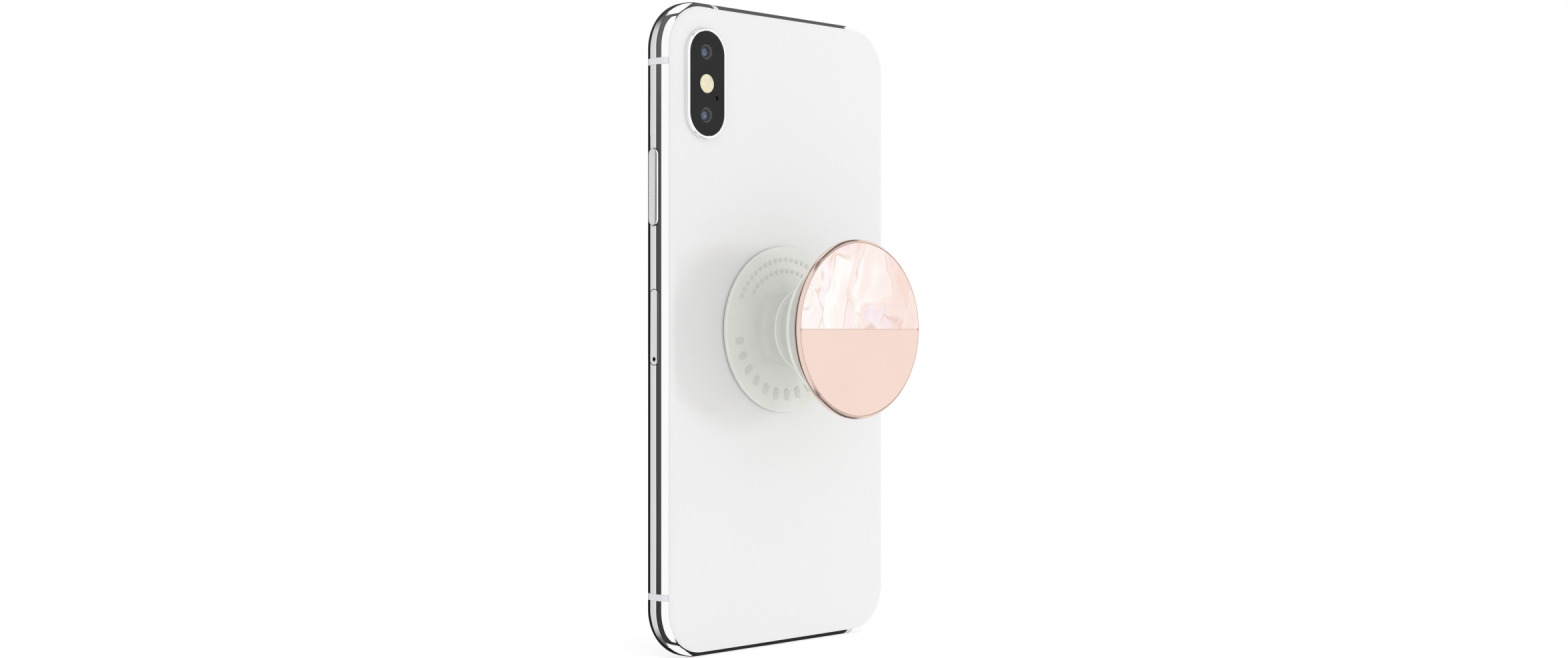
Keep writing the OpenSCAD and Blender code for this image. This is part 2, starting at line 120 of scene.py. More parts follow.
# four quarter circles about the corner centres; straight runs join them
def roundedOutline(halfWide, halfLong, radius, steps, centre=(0, 0)):
    t = np.linspace(0, math.pi / 2, steps + 1)
    angle = (t[None, :] + np.arange(4)[:, None] * math.pi / 2).ravel()
    signX = np.repeat([1, -1, -1, 1], steps + 1)
    signZ = np.repeat([1, 1, -1, -1], steps + 1)
    normal = np.stack([np.cos(angle), np.sin(angle)], axis=1)
    middle = np.stack([signX * (halfWide - radius), signZ * (halfLong - radius)], axis=1)
    return middle + normal * radius + np.array(centre), normal


# a rounded outline whose short ends are almost full half circles
def pill(halfWide, halfLong, steps, centre):
    return roundedOutline(halfWide, halfLong, min(halfWide, halfLong) - build["pillTrim"], steps, centre)


def circleOutline(radius, steps, centre):
    t = np.linspace(0, 2 * math.pi, steps, endpoint=False)
    normal = np.stack([np.cos(t), np.sin(t)], axis=1)
    return normal * radius + np.array(centre), normal


# half a disc: the big arc, a straight foot, and two small corner arcs that touch both
def halfDisc(radius, foot, corner, upper, steps=90, cornerSteps=10):
    reach = math.sqrt((radius - corner) ** 2 - (foot + corner) ** 2)
    low = math.atan2(foot + corner, reach)
    big = np.linspace(low, math.pi - low, steps)
    right = np.linspace(-math.pi / 2, low, cornerSteps)
    left = np.linspace(math.pi - low, 1.5 * math.pi, cornerSteps)
    angle = np.concatenate([right, big, left])
    middle = np.zeros((len(angle), 2))
    middle[:cornerSteps] = [reach, foot + corner]
    middle[-cornerSteps:] = [-reach, foot + corner]
    size = np.full(len(angle), corner)
    size[cornerSteps:-cornerSteps] = radius
    normal = np.stack([np.cos(angle), np.sin(angle)], axis=1)
    flip = [1, 1 if upper else -1]
    return (middle + normal * size[:, None]) * flip, normal * flip


# each outline point moved out along its normal by the profile's offset, at the
# profile's height; stood up so that the height runs along the axis
def sweep(outline, profile, axis="y"):
    points, normals = outline
    profile = np.asarray(profile, float)
    flat = points[None] + normals[None] * profile[:, None, :1]
    high = np.repeat(profile[:, 1:2], len(points), axis=1)
    order = {"x": [2, 0, 1], "y": [0, 2, 1], "z": [0, 1, 2]}[axis]
    return np.stack([flat[..., 0], flat[..., 1], high], axis=-1)[..., order] * mm


# a straight bar of one section, from one level to another
def bar(outline, low, high, axis="y"):
    return sweep(outline, [(0, low), (0, high)], axis)


# profile of (radius, height) turned about the grip's or a lens's axis
def turned(profile, centre, steps):
    t = np.linspace(0, 2 * math.pi, steps, endpoint=False)
    profile = np.asarray(profile, float)
    x = centre[0] + profile[:, :1] * np.cos(t)[None]
    z = centre[1] + profile[:, :1] * np.sin(t)[None]
    y = np.repeat(profile[:, 1:2], steps, axis=1)
    return np.stack([x, y, z], axis=-1) * mm


def arcPoints(x, y, radius, first, last, steps):
    t = np.radians(np.linspace(first, last, steps))
    return np.stack([x + radius * np.cos(t), y + radius * np.sin(t)], axis=1)


# rounds every inner corner of a polyline with a quadratic curve that starts and
# ends a set distance from it, or just under half way to the next
def eased(points, reach, steps):
    points = np.asarray(points, float)
    ends = []
    for step in (1, -1):
        way = np.roll(points, step, axis=0) - points
        far = np.linalg.norm(way, axis=1, keepdims=True)
        ends.append((points + way / far * np.minimum(reach, far * 0.45))[:, None])
    t = np.linspace(0, 1, steps)[None, :, None]
    curve = (1 - t) ** 2 * ends[0] + 2 * t * (1 - t) * points[:, None] + t ** 2 * ends[1]
    curve[0] = points[0]
    curve[-1] = points[-1]
    return curve.reshape(-1, 2)


# cuts closed shells out of a piece
def carve(piece, cutters, sharp=build["sharp"]):
    cutter = newObject("cutter", shellMesh("cutter", cutters))
    cut = piece.modifiers.new("cut", "BOOLEAN")
    cut.operation = "DIFFERENCE"
    cut.solver = "EXACT"
    cut.object = cutter
    graph = bpy.context.evaluated_depsgraph_get()
    graph.update()
    result = bpy.data.meshes.new_from_object(piece.evaluated_get(graph))
    piece.modifiers.clear()
    old = piece.data
    piece.data = result
    bpy.data.meshes.remove(old)
    bpy.data.objects.remove(cutter)
    smoothMesh(piece.data, sharp)


def setSockets(node, values):
    for name, value in values.items():
        node.inputs[name].default_value = value


def newMaterial(name, colour, rough, metal=0.0, coat=0.0, coatRough=0.05):
    material = bpy.data.materials.new(name)
    material.use_nodes = True
    tree = material.node_tree
    shader = tree.nodes["Principled BSDF"]
    setSockets(shader, {"Base Color": (*colour, 1), "Roughness": rough, "Metallic": metal,
                        "Coat Weight": coat, "Coat Roughness": coatRough})
    return material, tree, shader


# a pattern node: a socket of another node is linked, any other value is set
def addNode(tree, kind, sockets, **settings):
    node = tree.nodes.new("ShaderNode" + kind)
    for name, value in settings.items():
        setattr(node, name, value)
    for name, value in sockets.items():
        if isinstance(value, bpy.types.NodeSocket):
            tree.links.new(value, node.inputs[name])
        else:
            setSockets(node, {name: value})
    return node


def objectPlace(tree):
    return tree.nodes.new("ShaderNodeTexCoord").outputs["Object"]


# object coordinates counted in millimetres
def millimetres(tree, scale=(1, 1, 1)):
    perMetre = tuple(s / mm for s in scale)
    return addNode(tree, "Mapping", {"Vector": objectPlace(tree), "Scale": perMetre}).outputs["Vector"]


def noiseOf(tree, where, scale, detail=3.0, rough=0.5, warp=0.0):
    sockets = {"Vector": where, "Scale": scale, "Detail": detail, "Roughness": rough, "Distortion": warp}
    return addNode(tree, "TexNoise", sockets).outputs["Fac"]


def rangeOf(tree, value, low, high, fromLow=0.3, fromHigh=0.7):
    sockets = {"Value": value, "From Min": fromLow, "From Max": fromHigh, "To Min": low, "To Max": high}
    return addNode(tree, "MapRange", sockets).outputs["Result"]


def mathOf(tree, kind, a, b=0.0):
    return addNode(tree, "Math", {0: a, 1: b}, operation=kind).outputs[0]


def mixOf(tree, factor, a, b):
    return addNode(tree, "Mix", {"Factor": factor, "A": a, "B": b}, data_type="RGBA").outputs["Result"]


def rampOf(tree, value, stops):
    node = addNode(tree, "ValToRGB", {"Fac": value})
    ramp = node.color_ramp
    while len(ramp.elements) < len(stops):
        ramp.elements.new(0.5)
    for element, (place, colour) in zip(ramp.elements, stops):
        element.position = place
        element.color = (*colour, 1)
    return node.outputs["Color"]


def toneAttribute(tree):
    return addNode(tree, "Attribute", {}, attribute_name="tone").outputs["Fac"]


def setTones(mesh, tone):
    mesh.attributes.new("tone", "FLOAT", "POINT").data.foreach_set("value", tone.ravel().astype(np.float32))


# pattern into the shader's colour or roughness
def feed(tree, shader, colour=None, rough=None):
    for socket, value in (("Base Color", colour), ("Roughness", rough)):
        if value:
            tree.links.new(value, shader.inputs[socket])


def bumpOf(tree, shader, height, distance, strength, coatToo=False):
    node = addNode(tree, "Bump", {"Height": height, "Strength": strength, "Distance": distance * mm})
    for socket in ("Normal", "Coat Normal") if coatToo else ("Normal",):
        tree.links.new(node.outputs["Normal"], shader.inputs[socket])


# colour that wanders a little round a base tone, and a fine grain in relief
def grained(name, colour, rough, spread, scale, grain, relief, **options):
    material, tree, shader = newMaterial(name, colour, rough, **options)
    where = millimetres(tree)
    broad = noiseOf(tree, where, scale, 4.0)
    dark = tuple(c * (1 - spread) for c in colour)
    pale = tuple(min(1.0, c * (1 + spread)) for c in colour)
    fine = noiseOf(tree, where, grain, 3.0, 0.6)
    feed(tree, shader, rampOf(tree, broad, [(0.3, dark), (0.7, pale)]),
         rangeOf(tree, fine, rough * 0.88, rough * 1.14))
    bumpOf(tree, shader, fine, relief, 0.5)
    return material


# polished or brushed metal: faint haze patches and hairline scratches along one way
def metal(name, colour, rough, scratch=(1, 1, 1), relief=0.0008, haze=0.25):
    material, tree, shader = newMaterial(name, colour, rough, metal=1.0)
    patches = noiseOf(tree, millimetres(tree), 0.09, 3.0, 0.55)
    tone = rampOf(tree, patches, [(0.25, tuple(c * 0.97 for c in colour)), (0.75, colour)])
    feed(tree, shader, tone, rangeOf(tree, patches, rough * (1 - haze), rough * (1 + haze)))
    bumpOf(tree, shader, noiseOf(tree, millimetres(tree, scratch), 9.0, 2.0, 0.7), relief, 0.35)
    return material


print("materials")
polishedSteel = metal("polishedSteel", (0.97, 0.97, 0.975), 0.02, (0.25, 3.0, 0.25), 0.0001)
ringSteel = metal("ringSteel", (0.97, 0.97, 0.975), 0.1)
stampedSteel = metal("stampedSteel", (0.5, 0.51, 0.52), 0.32, (0.1, 1, 1), 0.004)
goldPlate = metal("goldPlate", (0.83, 0.62, 0.28), 0.22, relief=0.002)
copperWire = metal("copperWire", (0.72, 0.38, 0.2), 0.28, relief=0.003)
# colour, roughness, spread of tone, broad scale, grain scale, relief
antennaPlastic = grained("antennaPlastic", (0.72, 0.72, 0.75), 0.3, 0.03, 0.4, 10, 0.003, coat=0.3)
sealBlack = grained("sealBlack", (0.03, 0.03, 0.032), 0.6, 0.2, 2, 14, 0.02)
mouldedBlack = grained("mouldedBlack", (0.022, 0.022, 0.024), 0.42, 0.2, 1, 12, 0.012)
flexAmber = grained("flexAmber", (0.55, 0.26, 0.07), 0.38, 0.15, 1, 10, 0.01, coat=0.4)
boardGreen = grained("boardGreen", (0.02, 0.12, 0.07), 0.4, 0.25, 1.5, 8, 0.02, coat=0.5)
cellWrap = grained("cellWrap", (0.035, 0.036, 0.04), 0.35, 0.2, 0.4, 6, 0.02, coat=0.3)
cardWhite = grained("cardWhite", (0.82, 0.82, 0.83), 0.4, 0.03, 1, 12, 0.004)
softAdhesive = grained("softAdhesive", (0.7, 0.72, 0.69), 0.6, 0.08, 0.8, 6, 0.02)
heavyAlloy = grained("heavyAlloy", (0.2, 0.19, 0.17), 0.5, 0.15, 1, 9, 0.02, metal=0.8)


# azimuth and elevation in degrees, lens in the camera's own millimetres
viewpoint = {
    "azimuth": 134.862, "elevation": -0.1, "distance": 460.4,
    "right": 3.1, "up": 0.1, "lens": 46.26, "sensor": 36, "pivot": (0, 3.85, 0),
}


def makeCamera():
    a = math.radians(viewpoint["azimuth"])
    e = math.radians(viewpoint["elevation"])
    back = Vector((math.sin(a) * math.cos(e), -math.cos(a) * math.cos(e), math.sin(e)))
    right = Vector((math.cos(a), math.sin(a), 0))
    up = back.cross(right)
    place = back * viewpoint["distance"] + right * viewpoint["right"] + up * viewpoint["up"]
    data = bpy.data.cameras.new("camera")
    data.lens = viewpoint["lens"]
    data.sensor_width = viewpoint["sensor"]
    data.clip_start = 0.01
    data.clip_end = 50
    camera = newObject("camera", data)
    turn = Matrix((right, up, back)).transposed()
    camera.matrix_world = Matrix.Translation((place + Vector(viewpoint["pivot"])) * mm) @ turn.to_4x4()
    scene.camera = camera


# lights and floor in metres; the cards' tone factors go with heights in millimetres
light = {
    "world": 1.0, "keyPower": 0.95, "keySize": 0.16, "keyFrom": (-0.5, 0.84, 0.06), "keyFar": 0.95,
    "keyAim": (0, 0.01, 0), "topPower": 0.5, "topSize": 0.9, "topPlace": (0.1, 0.1, 1.0),
    "floorLevel": -0.0718, "floorHalf": 4.0, "floorTone": 0.5, "floorGlow": 0.6, "cardFar": 0.8,
    "toneHeights": (-71.8, -45, 45, 71.8), "toneFactors": (0.45, 0.85, 1.1, 1.9),
}

# each card's rows: outline angle, lowest tilt, highest tilt, tone at the middle and at the sides
cards = {
    "paleCard": [
        (0, -7.5, 1.8, 0.69, 0.81), (12, -5, 1.8, 0.69, 0.79), (20, -4, 1.8, 0.66, 0.74),
        (27, -3, 1.8, 0.45, 0.45), (34, -2, 1.8, 0.16, 0.1), (40, -1, 4, 0.11, 0.09),
        (46, 0.5, 3, 0.16, 0.12), (49, 1.5, 2, 0.3, 0.3),
    ],
    "charcoalCard": [
        (0, 1.8, 24.6, 0.08, 0.028), (28, 1.8, 25, 0.08, 0.035), (34, 1.8, 28, 0.08, 0.05),
        (40, 4, 33, 0.07, 0.06), (43, 20, 43, 0.06, 0.06), (47, 37, 53, 0.06, 0.06),
        (51, 46, 57, 0.05, 0.05), (62, 46, 57, 0.05, 0.05), (70, 41, 57, 0.05, 0.05),
        (76, 34, 57, 0.05, 0.05), (82, 25, 57, 0.06, 0.05), (90, 25, 57, 0.06, 0.05),
    ],
    "toothCard": [(35, 56, 58, 0.06, 0.06), (41, 48, 58, 0.06, 0.06), (47, 46, 58, 0.06, 0.06)],
    "outlineCard": [
        (0, -60, -7.5, 0.018, 0.018), (12, -60, -5, 0.018, 0.018), (28, -60, -3, 0.02, 0.02),
        (40, -60, -1, 0.02, 0.02), (48, -60, 1, 0.025, 0.025), (56, -60, 6, 0.03, 0.03),
        (62, -60, 11, 0.03, 0.03), (68, -60, 16, 0.03, 0.03), (76, -60, 22, 0.03, 0.03),
        (82, -60, 27, 0.03, 0.03), (90, -60, 27, 0.03, 0.03),
    ],
}


def areaLight(name, place, target, size, power):
    data = bpy.data.lights.new(name, "AREA")
    data.shape = "DISK"
    data.size = size
    data.energy = power
    lamp = newObject(name, data)
    lamp.location = place
    lamp.rotation_mode = "QUATERNION"
    lamp.rotation_quaternion = (Vector(target) - Vector(place)).to_track_quat("-Z", "Y")
    return lamp


# a card lights nothing and casts nothing: it only shows in polished surfaces, as
# bright as its tone attribute
def addCard(name, points, faces, tone):
    mesh = bpy.data.meshes.new(name)
    mesh.from_pydata(points.reshape(-1, 3).tolist(), [], faces)
    setTones(mesh, tone)
    card = newObject(name, mesh)
    material, tree, shader = newMaterial(name, (0, 0, 0), 1.0)
    setSockets(shader, {"Specular IOR Level": 0, "Emission Color": (1, 1, 1, 1)})
    tree.links.new(toneAttribute(tree), shader.inputs["Emission Strength"])
    material.cycles.emission_sampling = "NONE"
    card.data.materials.append(material)
    for ray in ("camera", "diffuse", "shadow", "transmission"):
        setattr(card, "visible_" + ray, False)


# the phone's outline from the top edge round to the middle of the side, then mirrored
# down to the bottom edge: place, and the angle that its normal makes with the side's
def bandPath(topSteps=8, cornerSteps=46, sideSteps=7):
    coreX = halfW - body["corner"]
    coreZ = halfL - body["corner"]
    turn = np.radians(np.linspace(90, 0, cornerSteps))
    x = np.concatenate([np.linspace(-coreX, coreX, topSteps + 1)[:-1], coreX + body["corner"] * np.cos(turn),
                        np.full(sideSteps, halfW)])
    z = np.concatenate([np.full(topSteps, halfL), coreZ + body["corner"] * np.sin(turn),
                        np.linspace(coreZ, 0, sideSteps + 1)[1:]])
    angle = np.concatenate([np.full(topSteps, 90.0), np.degrees(turn), np.zeros(sideSteps)])
    return (np.concatenate([x, x[-2::-1]]), np.concatenate([z, -z[-2::-1]]),
            np.concatenate([angle, -angle[-2::-1]]))


# each point of a card is where the camera's line of sight ends up after it bounces off
# the band: r = 2(n.v)n - v, cardFar away, over a range of tilts of the band's rounding
# that changes along the outline; no tilt lies past the silhouette
def reflectionCard(name, rows, dimmedLow, steps=13):
    x, z, angle = bandPath()
    rows = np.array(rows, float)
    turnAway = np.abs(angle)
    low, high, middle, sides = [np.interp(turnAway, rows[:, 0], rows[:, k]) for k in range(1, 5)]
    eye = np.array(scene.camera.location) / mm
    turn = np.radians(angle)
    aside = (eye[0] - x) * np.cos(turn) + (eye[2] - z) * np.sin(turn)
    silhouette = -np.degrees(np.arctan2(aside, eye[1] - midT)) + 0.5
    low = np.maximum(low, silhouette)
    high = np.maximum(high, low + 0.02)
    t = np.linspace(0, 1, steps)
    tilt = np.radians(low[:, None] * (1 - t) + high[:, None] * t)
    turn = turn[:, None]
    r = body["edge"]
    inward = r * (1 - np.cos(tilt))
    depth = np.where(tilt > 0, body["thick"] - r, r) + r * np.sin(tilt)
    place = np.stack([x[:, None] - inward * np.cos(turn), depth, z[:, None] - inward * np.sin(turn)], axis=-1)
    normal = np.stack([np.cos(tilt) * np.cos(turn), np.sin(tilt), np.cos(tilt) * np.sin(turn)], axis=-1)
    view = eye - place
    view /= np.linalg.norm(view, axis=-1, keepdims=True)
    facing = np.sum(normal * view, axis=-1, keepdims=True)
    points = place * mm + (2 * facing * normal - view) * light["cardFar"]
    hump = (4 * t * (1 - t)) ** 0.5
    tone = sides[:, None] * (1 - hump) + middle[:, None] * hump
    if dimmedLow:
        tone *= np.interp(z, light["toneHeights"], light["toneFactors"])[:, None]
    slack = 0.01
    kept = (turnAway >= rows[0, 0] - slack) & (turnAway <= rows[-1, 0] + slack)
    k = np.arange(tone.size).reshape(tone.shape)[:-1, :-1][kept[:-1] & kept[1:]].ravel()
    faces = np.stack([k, k + 1, k + steps + 1, k + steps], axis=1).tolist()
    addCard(name, points, faces, tone)


def makeStudio():
    world = bpy.data.worlds.new("studio")
    scene.world = world
    world.use_nodes = True
    setSockets(world.node_tree.nodes["Background"], {"Color": (1, 1, 1, 1), "Strength": light["world"]})
    key = Vector(light["keyFrom"]).normalized() * light["keyFar"]
    lamp = areaLight("keyLight", key, light["keyAim"], light["keySize"], light["keyPower"])
    lamp.visible_glossy = False
    areaLight("topLight", light["topPlace"], (0, 0, 0), light["topSize"], light["topPower"])
    for name, rows in cards.items():
        reflectionCard(name, rows, dimmedLow=name != "paleCard")
    size = light["floorHalf"]
    level = light["floorLevel"]
    mesh = bpy.data.meshes.new("floor")
    mesh.from_pydata([(-size, -size, level), (size, -size, level), (size, size, level), (-size, size, level)],
                     [], [(0, 1, 2, 3)])
    floor = newObject("floor", mesh)
    tone = light["floorTone"]
    material, tree, shader = newMaterial("floorPaper", (tone,) * 3, 0.85)
    grain = noiseOf(tree, objectPlace(tree), 900, 2)
    feed(tree, shader, rampOf(tree, grain, [(0.3, (tone - 0.01,) * 3), (0.7, (tone + 0.01,) * 3)]))
    setSockets(shader, {"Specular IOR Level": 0.1, "Emission Color": (1, 1, 1, 1),
                        "Emission Strength": light["floorGlow"]})
    floor.data.materials.append(material)
    floor.visible_glossy = False
    scene.view_settings.view_transform = "Standard"


print("camera and studio")
makeCamera()
makeStudio()


# front arc, crowned side and rear arc as (offset, depth): the crown is a wide circle
# that meets both arcs at the same slope
def bandArc():
    r = body["edge"]
    t = body["thick"]
    crown = body["crown"]
    lift = math.degrees(math.asin((r - body["seat"]) / r))
    front = arcPoints(-r, r, r, -lift, -crown, body["profileSteps"] // 2)
    rear = arcPoints(-r, t - r, r, crown, lift, body["profileSteps"] // 2)
    flat = np.linspace(-crown, crown, 10)[1:-1]
    big = (t / 2 - front[-1, 1]) / math.sin(math.radians(crown))
    side = arcPoints(front[-1, 0] - big * math.cos(math.radians(crown)), t / 2, big, flat[0], flat[-1], 9)
    return np.concatenate([front, side, rear]) - [side[:, 0].max(), 0]


# the arc, then the seat for each glass, the ledges and the inner wall, as one loop
def bandProfile():
    t = body["thick"]
    inner = [
        (-body["rim"], t - body["seat"]), (-body["rim"], t - body["ledge"]),
        (-body["wall"], t - body["ledge"]), (-body["wall"], body["ledge"]),
        (-body["rim"], body["ledge"]), (-body["rim"], body["seat"]),
    ]
    return np.concatenate([bandArc(), inner])


# key, tray and switch openings are (height, length); inserts are (side, height)
slots = {
    "gap": 0.15, "keyWidth": 2.8, "past": 1,
    "side": (30.75, 16.7), "tray": (0.45, 16.3), "volumeUp": (30.9, 10.6), "volumeDown": (18.1, 10.6),
    "silent": (43.6, 7.0, 2.9), "insertWidth": 1.45, "insertDepth": 1.3, "insertPlay": 0.02,
    "inserts": [(1, 57.9), (1, -57.9), (-1, 57.9), (-1, -57.9)], "topInsert": 20, "bottomInsert": -23,
    "socket": (8.9, 3.0), "screwX": 7.9, "screwHead": 0.95, "screwHole": 0.7, "screwDeep": 0.9,
    "soundStart": 11.2, "soundPitch": 2.35, "soundRadius": 0.75, "soundRight": 6, "soundLeft": 3,
}


def sideCutters():
    gap = 2 * slots["gap"]
    wide = slots["keyWidth"] + gap
    inside = halfW - body["wall"] - slots["past"]
    outside = halfW + slots["past"]
    cutters = []
    for sign, names in ((1, ("side", "tray")), (-1, ("volumeUp", "volumeDown"))):
        low, high = sorted((sign * inside, sign * outside))
        for name in names:
            middle, long = slots[name]
            cutters.append(bar(pill(wide / 2, (long + gap) / 2, 16, (midT, middle)), low, high, "x"))
    middle, long, across = slots["silent"]
    cutters.append(bar(pill(across / 2, long / 2, 16, (midT, middle)), -outside, -inside, "x"))
    return cutters


def bottomCutters():
    low = -halfL - slots["past"]
    high = -halfL + body["wall"] + slots["past"]
    socketW, socketH = slots["socket"]
    cutters = [bar(pill(socketW / 2, socketH / 2, 16, (0, midT)), low, high, "z")]
    step = slots["screwHole"] - slots["screwHead"]
    shelf = -halfL + slots["screwDeep"]
    head = [(0, low), (0, shelf), (step, shelf), (step, high)]
    for x in (-slots["screwX"], slots["screwX"]):
        cutters.append(sweep(circleOutline(slots["screwHead"], 32, (x, midT)), head, "z"))
    places = [slots["soundStart"] + slots["soundPitch"] * k for k in range(slots["soundRight"])]
    places += [-slots["soundStart"] - slots["soundPitch"] * k for k in range(slots["soundLeft"])]
    return cutters + [bar(circleOutline(slots["soundRadius"], 32, (x, midT)), low, high, "z") for x in places]


# a loop of (offset from the outer line, depth) carried straight across each insert's place
def acrossInserts(loop, half):
    out, depth = np.asarray(loop, float).T
    shells = []
    for side, middle in slots["inserts"]:
        shells.append([[side * (halfW + out), depth, np.full(len(loop), middle + s * half)] for s in (-1, 1)])
    for end, x in ((1, slots["topInsert"]), (-1, slots["bottomInsert"])):
        shells.append([[np.full(len(loop), x + s * half), depth, end * (halfL + out)] for s in (-1, 1)])
    return [np.array(shell).transpose(0, 2, 1) * mm for shell in shells]


def makeBand():
    outline = roundedOutline(halfW, halfL, body["corner"], body["arcSteps"])
    rings = sweep(outline, bandProfile())
    band = makePiece("steelBand", [rings], polishedSteel, looped=True)
    deep = slots["insertDepth"]
    past = slots["past"]
    rear = body["thick"] + past
    channel = [(-deep, -past), (past, -past), (past, rear), (-deep, rear)]
    carve(band, sideCutters() + bottomCutters() + acrossInserts(channel, slots["insertWidth"] / 2))
    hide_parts("steel_band")


# the band's outer arc, closed just short of the channel's depth
def makeInserts():
    deep = slots["insertDepth"] - 0.01
    arc = bandArc()
    arc = arc[arc[:, 0] > -deep] - [0.004, 0]
    loop = np.concatenate([arc, [(-deep, arc[-1, 1]), (-deep, arc[0, 1])]])
    shells = acrossInserts(loop, slots["insertWidth"] / 2 - slots["insertPlay"])
    piece = makePiece("antennaInserts", shells, antennaPlastic)
    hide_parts("antenna_inserts")


print("band")
makeBand()
makeInserts()


# the lit area and notch are (middle height, width, length, corner radius)
glass = {
    "thick": 0.7, "gap": 0.02, "underside": 4.2, "cameraHole": (5.65, 12.05), "holePlace": (24.05, 53.7),
    "earSlot": (5.3, 0.65), "earPlace": (0, 67),
    "lit": (0, 62.6, 135.4, 7.2), "notch": (68.6, 34.8, 10.6, 2.6),
}


# side wall, then the last part of the edge rounding, then the flat, as offsets and
# depths from the outer face
def glassProfile():
    r = body["edge"]
    edge = body["rim"] + glass["gap"]
    start = math.degrees(math.acos((r - edge) / r))
    low = -glass["thick"]
    under = [(-glass["underside"], low), (-edge, low)]
    return np.concatenate([under, arcPoints(-r, -r, r, start, 90, 16), [(-r - 0.5, 0), (-r - 1.2, 0)]])


def makeGlassPlates():
    outline = roundedOutline(halfW, halfL, body["corner"], body["arcSteps"])
    profile = glassProfile()
    sharp = build["roundSharp"]
    rear = sweep(outline, profile + [0, body["thick"]])
    plate = makePiece("backGlass", [rear], backWhite, sharp=sharp)
    carve(plate, [bar(pill(*glass["cameraHole"], 24, glass["holePlace"]), 5, 9)], sharp)
    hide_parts("back_glass")
    front = sweep(outline, profile * [1, -1])
    plate = makePiece("frontGlass", [front], screenGlass, sharp=sharp)
    carve(plate, [bar(pill(*glass["earSlot"], 12, glass["earPlace"]), -1, 2)], sharp)
    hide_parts("front_glass")


# white layer seen through clear glass, with a very faint mottle
def makeBackWhite():
    material, tree, shader = newMaterial("backWhite", (0.76, 0.762, 0.763), 0.42, coat=1.0, coatRough=0.03)
    where = millimetres(tree)
    cloud = noiseOf(tree, where, 0.03, 3, 0.5)
    speck = noiseOf(tree, where, 22, 2, 0.6)
    feed(tree, shader, rampOf(tree, cloud, [(0.3, (0.752, 0.755, 0.757)), (0.7, (0.77, 0.77, 0.769))]),
         rangeOf(tree, speck, 0.38, 0.46))
    bumpOf(tree, shader, noiseOf(tree, where, 0.06, 1, 0.4), 0.01, 0.15, coatToo=True)
    return material


# signed distance to a rounded box: length of the positive part less the radius
def roundBox(tree, x, z, middle, wide, long, radius):
    fromX = mathOf(tree, "ABSOLUTE", x)
    fromZ = mathOf(tree, "ABSOLUTE", mathOf(tree, "SUBTRACT", z, middle * mm))
    dx = mathOf(tree, "MAXIMUM", mathOf(tree, "SUBTRACT", fromX, (wide / 2 - radius) * mm))
    dz = mathOf(tree, "MAXIMUM", mathOf(tree, "SUBTRACT", fromZ, (long / 2 - radius) * mm))
    squares = mathOf(tree, "ADD", mathOf(tree, "MULTIPLY", dx, dx), mathOf(tree, "MULTIPLY", dz, dz))
    return mathOf(tree, "SUBTRACT", mathOf(tree, "SQRT", squares), radius * mm)


# gloss black, the lit area a shade bluer than the border, with its top notch
def makeScreenGlass():
    material, tree, shader = newMaterial("screenGlass", (0.006, 0.006, 0.007), 0.12, coat=1.0, coatRough=0.02)
    split = addNode(tree, "SeparateXYZ", {0: objectPlace(tree)})
    x = split.outputs["X"]
    z = split.outputs["Z"]
    lit = mathOf(tree, "LESS_THAN", roundBox(tree, x, z, *glass["lit"]))
    notch = mathOf(tree, "GREATER_THAN", roundBox(tree, x, z, *glass["notch"]))
    area = mathOf(tree, "MULTIPLY", lit, notch)
    smear = noiseOf(tree, millimetres(tree), 0.05, 5, 0.6, 0.4)
    feed(tree, shader, rampOf(tree, area, [(0.0, (0.0028, 0.0028, 0.003)), (1.0, (0.013, 0.0138, 0.0175))]),
         rangeOf(tree, smear, 0.09, 0.2))
    return material


print("glass")
backWhite = makeBackWhite()
screenGlass = makeScreenGlass()
makeGlassPlates()


# flanges and stems are alike; each key is (node, body it rides, (depth, height), width,
# length, side, how far it stands proud, its rounding, its flange)
keys = {
    "flange": (32.2, 32.8), "neck": 0.1, "stemEnd": 0.6,
    "rows": {
        "sideKey": ("side_button", "side_button", (midT, 30.75), 2.8, 16.7, 1, 0.4, 0.15, 0.5),
        "volumeUpKey": ("volume_up_button", "volume_up", (midT, 30.9), 2.8, 10.6, -1, 0.4, 0.15, 0.5),
        "volumeDownKey": ("volume_down_button", "volume_down", (midT, 18.1), 2.8, 10.6, -1, 0.4, 0.15, 0.5),
        "silentLever": ("silent_switch", "silent_switch", (3.3, 43.6), 1.5, 5.9, -1, 0.3, 0.2, 0.45),
    },
}


# a flange inside the band, a straight stem, and a cap rounded by a quarter arc
def keyProfile(proud, roundness, flangeOut):
    low, high = keys["flange"]
    foot = [(-keys["neck"], low), (flangeOut, low), (flangeOut, high), (0, high), (0, halfW - keys["stemEnd"])]
    return np.concatenate([foot, arcPoints(-roundness, halfW + proud - roundness, roundness, 0, 90, 10)])


def makeKeys():
    for name, (node, rideOn, centre, wide, long, side, *cap) in keys["rows"].items():
        rings = sweep(pill(wide / 2, long / 2, 20, centre), keyProfile(*cap), "x") * [side, 1, 1]
        piece = makePiece(name, [rings], keySteel, rideOn=rideOn)
        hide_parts(node)


# everything outside the band's side, as a bar between two heights
def outsideBand(low, high):
    far = halfW + 3
    loop = np.concatenate([bandArc() + [halfW - 0.01, 0], [(far, body["thick"] + 1), (far, -1)]])
    ends = [np.column_stack([loop, np.full(len(loop), z)]) for z in (low, high)]
    return np.array(ends) * mm


